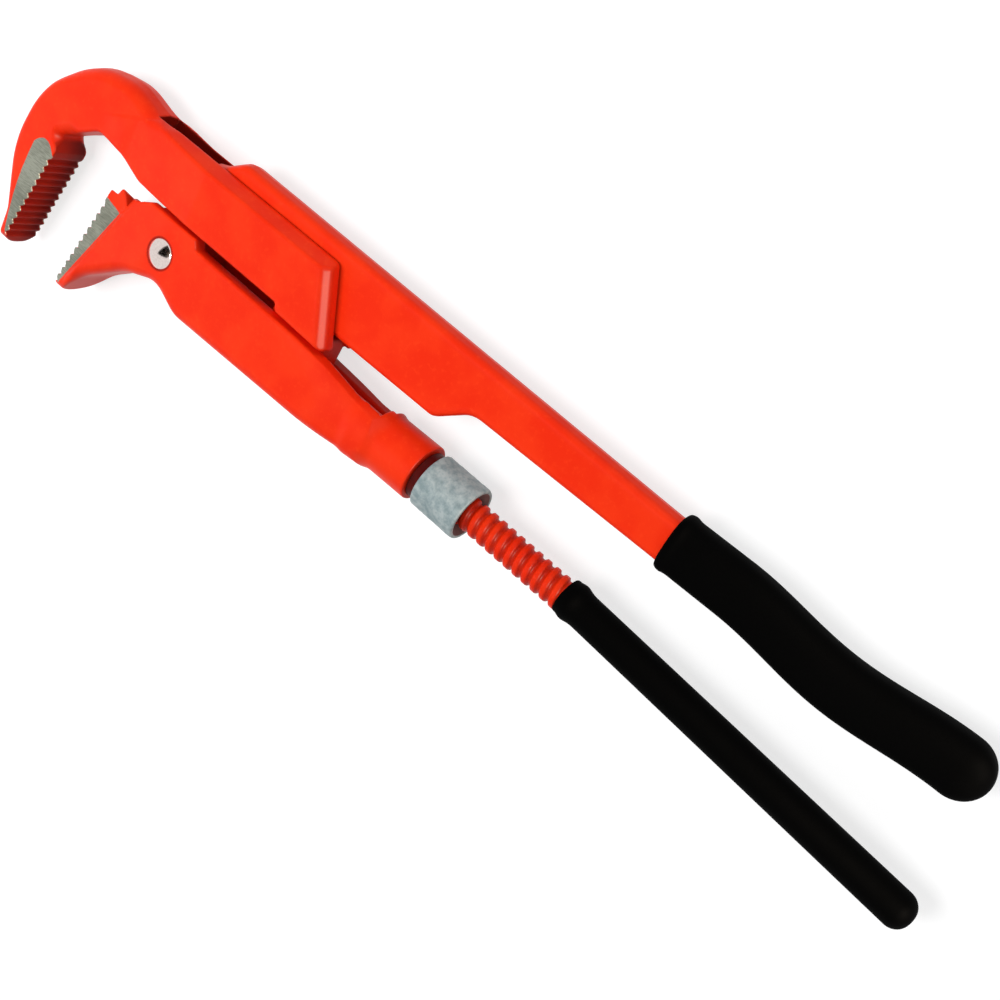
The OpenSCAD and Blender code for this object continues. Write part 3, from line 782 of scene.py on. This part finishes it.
def dents(points, radius, size, depth, seed):
    """Pushes a turned skin in by shallow dents, as a casting or a worn forging has."""
    rng = np.random.default_rng(seed)
    waves = rng.normal(size=(14, 3)) * 2 * math.pi / size
    shift = rng.uniform(0, 2 * math.pi, 14)
    height = np.sin(points @ waves.T + shift).mean(axis=1) * math.sqrt(14)
    r = np.hypot(points[:, 0], points[:, 1])
    push = np.where(r > radius - 0.3, depth * np.clip(height * 0.5 + 0.4, 0, 1), 0)
    scale = (r - push) / np.maximum(r, 1e-6)
    return points * np.stack([scale, scale, np.ones_like(scale)], axis=1)


nut_points = dents(nut_points, NUT_R, 5.0, 0.16, 7)
# painted shade: the nut's bore and countersink are drawn dark red
in_bore = 0.9 * (np.hypot(nut_points[:, 0], nut_points[:, 1]) < NUT_R - 1.4)
piece("plated_nut", rocked(on_rod(nut_points, NUT_X0)), nut_faces, nut_finish, "nut",
      ["adjusting_nut"], {"painted_shade": in_bore})

dome_h = rivet_hi[2] - 2 * MID
sphere_r = (RIVET_R ** 2 + dome_h ** 2) / (2 * dome_h)
dome = [(RIVET_R, 2 * MID - 0.6)]
reach = math.asin(RIVET_R / sphere_r)
dome += [(sphere_r * math.sin(reach * t), rivet_hi[2] - sphere_r * (1 - math.cos(reach * t)))
         for t in np.linspace(1, 0.04, 14)]
rivet_points, rivet_faces = turned(dome, around=64)
piece("rivet_dome", rivet_points + [0, rivet_y, 0], rivet_faces, chrome, "lower_leg",
      ["spring_rivet"])

# ---------------------------------------------------------------- dipped grips

LONG_W, LONG_T, LONG_FLAT = 9.75, 7.0, 0.78
CAP_X = long_hi[0] - LONG_W
LONG_Y, LONG_DIP, LONG_STRAIGHT = 36.95, 3.4, 24.0
DIP_X = (long_lo[0] + LONG_STRAIGHT + CAP_X) / 2


def handle_line(x):
    """Y of the long grip's middle line, which dips between its two ends."""
    if x < DIP_X:
        share = (x - long_lo[0] - LONG_STRAIGHT) / (DIP_X - long_lo[0] - LONG_STRAIGHT)
    else:
        share = (CAP_X - x) / (CAP_X - DIP_X)
    return LONG_Y - LONG_DIP * (1 - math.cos(math.pi * min(1, max(0, share)))) / 2


def grip_ring(x, y, wide, thick, flat, around=72):
    """A ring of the long grip's flattened oval section."""
    ring = []
    for t in np.arange(around) * 2 * math.pi / around:
        c, s = math.cos(t), math.sin(t)
        ring.append((x, y + wide * math.copysign(abs(c) ** flat, c),
                     MID + thick * math.copysign(abs(s) ** flat, s)))
    return ring


def lip(s):
    """How far the dip's bead stands proud at s mm from the mouth."""
    return 0.42 * math.exp(-((s - 2.2) / 1.5) ** 2)


def tuck(s, depth):
    """How far the rim of a grip's mouth turns in at s mm from it, over its first millimetre."""
    return depth * (1 - math.sqrt(max(0.0, 1 - (1 - min(1, s)) ** 2)))


long_rings = []
for s in [0, 0.25, 0.6, 1.0, 1.5, 2.1, 2.8, 3.6, 4.6, 6.0]:
    long_rings.append(grip_ring(long_lo[0] + s, LONG_Y, LONG_W + lip(s) - tuck(s, 1.0) - 0.02,
                                LONG_T + lip(s) - tuck(s, 1.0) - 0.02, LONG_FLAT))
for x in np.linspace(long_lo[0] + 8, CAP_X, 52):
    long_rings.append(grip_ring(x, handle_line(x), LONG_W, LONG_T, LONG_FLAT))
for t in np.radians(np.arange(6, 90, 6)):
    long_rings.append(grip_ring(CAP_X + LONG_W * math.sin(t), LONG_Y, LONG_W * math.cos(t),
                                LONG_T * math.cos(t) ** 0.8, LONG_FLAT))
long_points, long_faces = loft(long_rings)
piece("long_dipped_grip", long_points, long_faces, vinyl, "lower_leg",
      ["long_handle_grip"])

SHORT_R, SHORT_LEN, SHORT_DROP, SHORT_Y = 6.2, 140.5, math.radians(2.6), 0.7
SHORT_END_R = 5.2                          # round of the short grip's free end
profile = []
for s in [0, 0.2, 0.5, 1.0]:
    profile.append((SHORT_R + 0.3 - tuck(s, 0.9), 0.5 + s))
for s in np.linspace(1.6, 9, 12):
    profile.append((SHORT_R + 0.75 * math.exp(-((s - 4) / 2.4) ** 2), 0.5 + s))
profile += [(SHORT_R, 0.5 + s) for s in np.linspace(11, SHORT_LEN - 6, 40)]
for t in np.radians(np.arange(0, 90, 7.5)):
    profile.append((SHORT_R - SHORT_END_R + SHORT_END_R * math.cos(t),
                    0.5 + SHORT_LEN - SHORT_END_R + SHORT_END_R * math.sin(t)))
short_points, short_faces = turned(profile, around=64)
short_points = on_rod(short_points)
c, s = math.cos(-SHORT_DROP), math.sin(-SHORT_DROP)
short_points = np.stack([THREAD_X1 + c * short_points[:, 0] - s * short_points[:, 1],
                         SHORT_Y + s * short_points[:, 0] + c * short_points[:, 1],
                         short_points[:, 2]], axis=1)
piece("short_dipped_grip", rocked(short_points), short_faces, vinyl, "upper_leg",
      ["short_handle_grip"])

# ---------------------------------------------------------------- CAD nodes that stay

for node_name, finish, slot_name in (("thrust_washer", washer_finish, "leg_paint"),
                                     ("pressure_spring", spring_finish, "spring_steel")):
    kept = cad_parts[node_name]
    kept.data.materials.clear()
    kept.data.materials.append(finish)

# ---------------------------------------------------------------- floor, light and camera


def either_ray(tree, a, b):
    """The larger of two values, such as 1 where a ray is of either kind."""
    return add(tree, "ShaderNodeMath", {0: a, 1: b}, operation="MAXIMUM").outputs[0]


def sheet(name, corners, material):
    """An object of one four-cornered face, in metres."""
    mesh = bpy.data.meshes.new(name)
    mesh.from_pydata(corners, [], [(0, 1, 2, 3)])
    mesh.materials.append(material)
    made = bpy.data.objects.new(name, mesh)
    bpy.context.scene.collection.objects.link(made)
    return made


def stage_material(name, code, glow):
    """Plain matt paper that reads as white to the camera and in reflections, and still takes a shadow."""
    material = bpy.data.materials.new(name)
    material.use_nodes = True
    tree = material.node_tree
    tree.nodes.clear()
    paper = add(tree, "ShaderNodeBsdfDiffuse", {"Color": linear(code)})
    light = add(tree, "ShaderNodeEmission", {"Color": (1, 1, 1, 1), "Strength": glow})
    path = add(tree, "ShaderNodeLightPath").outputs
    seen = either_ray(tree, path["Is Camera Ray"], path["Is Glossy Ray"])
    seen = either_ray(tree, seen, path["Is Transmission Ray"])
    lit = add(tree, "ShaderNodeAddShader", {0: paper.outputs[0], 1: light.outputs[0]})
    final = add(tree, "ShaderNodeMixShader", {0: seen, 1: paper.outputs[0], 2: lit.outputs[0]})
    add(tree, "ShaderNodeOutputMaterial", {"Surface": final.outputs[0]})
    return material


FLOOR_REACH = 4.0
floor = sheet("floor", [
    (-FLOOR_REACH, -FLOOR_REACH, 0), (FLOOR_REACH, -FLOOR_REACH, 0),
    (FLOOR_REACH, FLOOR_REACH, 0), (-FLOOR_REACH, FLOOR_REACH, 0),
], stage_material("pale_floor", "#ACACAC", 0.7))
floor.location.z = cad_box[0][2] - 0.0001

world = bpy.data.worlds.new("studio")
bpy.context.scene.world = world
world.use_nodes = True
sky = world.node_tree
sky.nodes.clear()
rays = add(sky, "ShaderNodeLightPath").outputs
shown = either_ray(sky, rays["Is Camera Ray"], rays["Is Transmission Ray"])
plain = add(sky, "ShaderNodeMapRange", {"Value": rays["Is Glossy Ray"], "To Min": 0.28, "To Max": 0.9})
power = either_ray(sky, shown, plain.outputs[0])
back = add(sky, "ShaderNodeBackground", {"Color": (1, 1, 1, 1), "Strength": power})
add(sky, "ShaderNodeOutputWorld", {"Surface": back.outputs[0]})

middle = Vector(((cad_box[0] + cad_box[1]) / 2)[:])


def lamp(name, place, size, watts):
    """A soft box, size wide and deep, aimed at the middle of the wrench."""
    light = bpy.data.lights.new(name, "AREA")
    light.shape = "RECTANGLE"
    light.size, light.size_y = size
    light.energy = watts
    made = bpy.data.objects.new(name, light)
    bpy.context.scene.collection.objects.link(made)
    made.location = middle + Vector(place)
    made.rotation_mode = "QUATERNION"
    made.rotation_quaternion = (-Vector(place)).to_track_quat("-Z", "Y")
    return made


# Three soft boxes light the paint without a glare; the strip draws the bright lines on its edges.
key = lamp("key_softbox", (-0.35, -0.05, 1.1), (0.6, 0.6), 9.0)
fill = lamp("fill_softbox", (-0.9, -0.5, 0.7), (0.6, 0.6), 2.5)
back_fill = lamp("back_softbox", (0.2, 1.05, 0.5), (0.8, 0.4), 4.5)
strip = lamp("edge_strip", (0.95, 0.33, 0.74), (0.3, 0.5), 40.0)
key.visible_glossy = fill.visible_glossy = back_fill.visible_glossy = False
strip.visible_diffuse = False
strip.data.color = (1.0, 0.86, 0.7)

# A dark card that only reflections see, for the shaded side of the rivet's dome.
rivet_at = Vector((0.0, 0.0064, 0.026))
card_material, card_tree, _ = blank("dark_card")
close(card_tree, {"Base Color": linear("#0C0C0C"), "Roughness": 1.0, "Specular IOR Level": 0.0})
CARD_AWAY = 0.6
card = sheet("dark_card", [rivet_at + CARD_AWAY * Vector(way) for way in (
    (-0.44, -0.24, 0.87), (0.4, -0.16, 0.9), (0.75, 0.5, 0.45), (-0.1, 0.72, 0.68))], card_material)
card.visible_camera = card.visible_diffuse = card.visible_shadow = False

# Where the camera stands, and the directions that are right and down in its view.
CAMERA_AT = (0.2829, 0.1817, 0.35985)
VIEW_RIGHT = Vector((0.7360, 0.4607, -0.4960)).normalized()
VIEW_DOWN = Vector((0.6008, -0.7822, 0.1650))
VIEW_DOWN = (VIEW_DOWN - VIEW_DOWN.dot(VIEW_RIGHT) * VIEW_RIGHT).normalized()
up, right = -VIEW_DOWN, VIEW_RIGHT
lens = bpy.data.cameras.new("camera")
lens.lens, lens.sensor_width = 45.0, 36.0
lens.clip_start, lens.clip_end = 0.01, 20.0
camera = bpy.data.objects.new("camera", lens)
bpy.context.scene.collection.objects.link(camera)
towards = right.cross(up)
camera.matrix_world = Matrix.Translation(CAMERA_AT) @ Matrix(
    (right, up, towards)).transposed().to_4x4()
bpy.context.scene.camera = camera
bpy.context.scene.view_settings.view_transform = "Standard"
